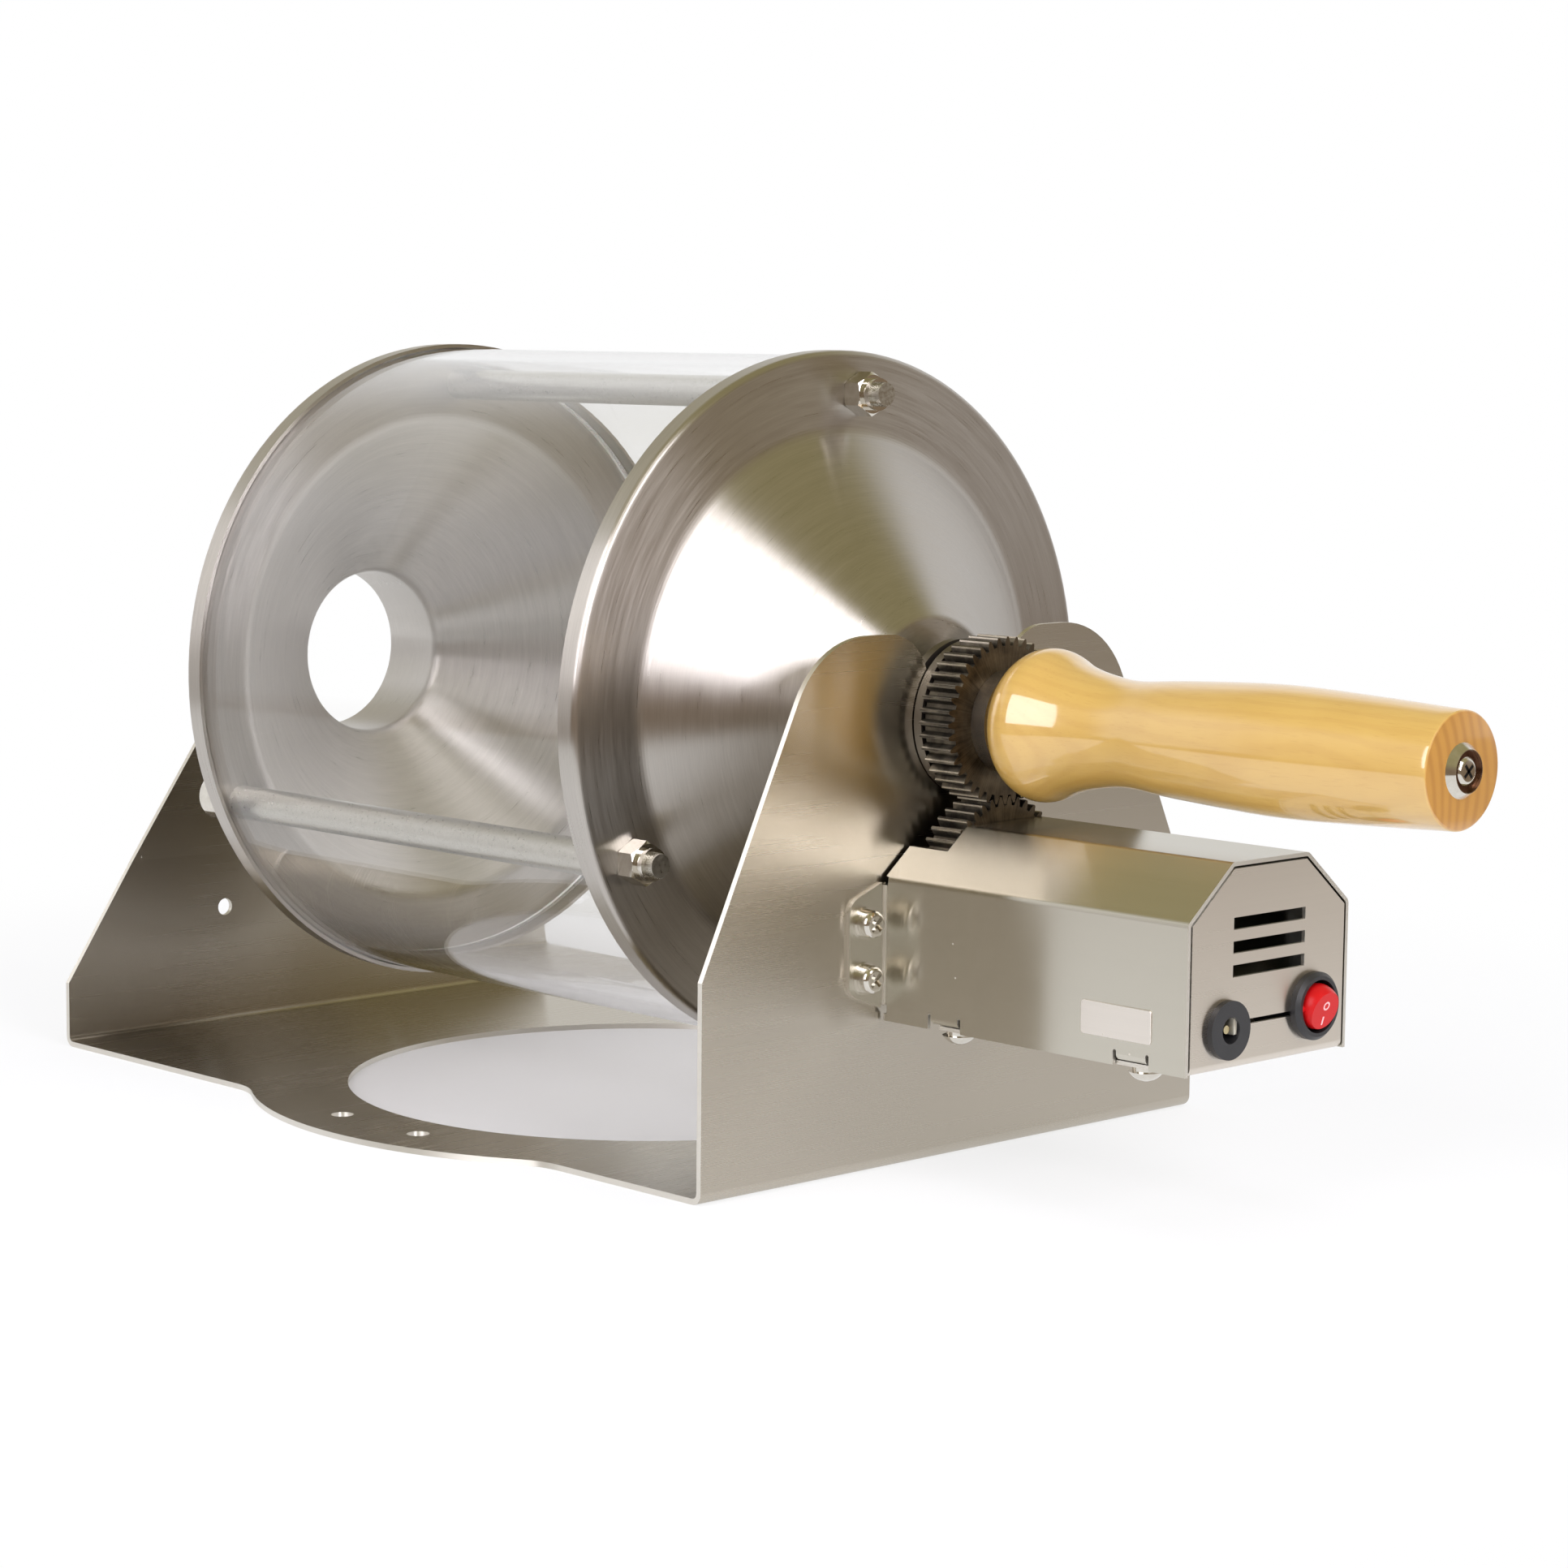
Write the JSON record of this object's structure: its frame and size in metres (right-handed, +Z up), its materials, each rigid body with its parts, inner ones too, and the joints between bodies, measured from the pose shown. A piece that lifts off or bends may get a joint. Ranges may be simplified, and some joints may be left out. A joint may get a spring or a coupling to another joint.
{
  "type": "stovetop coffee bean roaster",
  "caption": "Coffee bean roaster for a stovetop: a glass drum with spun steel covers and a wooden handle, turned by a gear motor, lies in a folded steel stand over the burner.",
  "frame": {"origin": "centre of the round burner opening, on the underside of the base", "axes": "+X along the drum's axis towards the handle, +Z up, out of the burner opening"},
  "size_m": [0.4318, 0.218, 0.203],
  "materials": {
    "stand_steel": "brushed stainless sheet",
    "spun_steel": "spun stainless sheet with a fine turned grain",
    "housing_steel": "brushed stainless sheet",
    "screw_steel": "bright plated steel",
    "zinc_steel": "pale zinc plating",
    "bearing_steel": "ground bearing steel",
    "shaft_steel": "turned steel",
    "gear_steel": "bare dark steel, bright at the tooth tips",
    "grub_steel": "blackened steel",
    "motor_metal": "plain metal",
    "clear_glass": "clear heatproof glass",
    "white_rubber": "white silicone",
    "maple": "clear-lacquered maple",
    "black_plastic": "black moulded plastic",
    "red_plastic": "red moulded plastic",
    "contact_brass": "plated brass"
  },
  "bodies": {
    "stand": {"stand_frame": "stand_steel", "roller_axles": "screw_steel", "roller_axle_nuts": "screw_steel", "roller_spacers": "screw_steel", "roller_inner_rings": "screw_steel", "motor_cover": "housing_steel", "motor_chassis": "housing_steel", "cover_screws": "screw_steel", "cover_screw_washers": "screw_steel", "cover_screw_nuts": "screw_steel", "chassis_screws": "screw_steel", "gearbox": "motor_metal", "gearbox_screws": "screw_steel", "motor_can": "motor_metal", "motor_terminals": "contact_brass", "inlet_body": "black_plastic", "inlet_pin": "contact_brass", "inlet_nut": "black_plastic", "switch_housing": "black_plastic", "switch_terminals": "contact_brass"},
    "bearing": {"bearing_bush": "bearing_steel"},
    "drum": {"front_cover": "spun_steel", "rear_cover": "spun_steel", "glass_cylinder": "clear_glass", "front_gasket": "white_rubber", "rear_gasket": "white_rubber", "tie_rod_top": "zinc_steel", "tie_rod_near": "zinc_steel", "tie_rod_far": "zinc_steel", "tie_rod_lock_nuts": "screw_steel", "tie_rod_cap_nuts": "screw_steel", "drum_shaft": "shaft_steel", "hub_washer": "screw_steel", "hub_nut": "screw_steel", "drum_gear": "gear_steel", "drum_gear_screw": "grub_steel", "handle": "maple", "handle_bolt": "screw_steel", "end_washer": "screw_steel"},
    "motor_output": {"output_shaft": "shaft_steel", "motor_gear": "gear_steel", "motor_gear_screw": "grub_steel"},
    "near_roller": {"roller_near": "bearing_steel"},
    "far_roller": {"roller_far": "bearing_steel"},
    "rocker": {"switch_rocker": "red_plastic"}
  },
  "joints": [
    {"name": "drum_lift", "type": "slide", "parent": "stand", "child": "bearing", "axis": [0, 0, 1], "range_m": [0, 0.06]},
    {"name": "drum_spin", "type": "hinge", "parent": "bearing", "child": "drum", "pos_m": [0.12, 0, 0.112], "axis": [1, 0, 0], "continuous": true},
    {"name": "motor_spin", "type": "hinge", "parent": "stand", "child": "motor_output", "pos_m": [0.12, 0, 0.072], "axis": [1, 0, 0], "continuous": true},
    {"name": "near_roller_spin", "type": "hinge", "parent": "stand", "child": "near_roller", "pos_m": [-0.1373, -0.02295, 0.08465], "axis": [1, 0, 0], "continuous": true},
    {"name": "far_roller_spin", "type": "hinge", "parent": "stand", "child": "far_roller", "pos_m": [-0.1373, 0.02295, 0.08465], "axis": [1, 0, 0], "continuous": true},
    {"name": "rocker_tilt", "type": "hinge", "parent": "stand", "child": "rocker", "pos_m": [0.2199, 0.0165, 0.0498], "axis": [0, -1, 0], "range_deg": [0, 34]}
  ],
  "couplings": [
    {"joint": "motor_spin", "follows": "drum_spin", "ratio": -1},
    {"joint": "near_roller_spin", "follows": "drum_spin", "ratio": -2.2273},
    {"joint": "far_roller_spin", "follows": "drum_spin", "ratio": -2.2273}
  ]
}
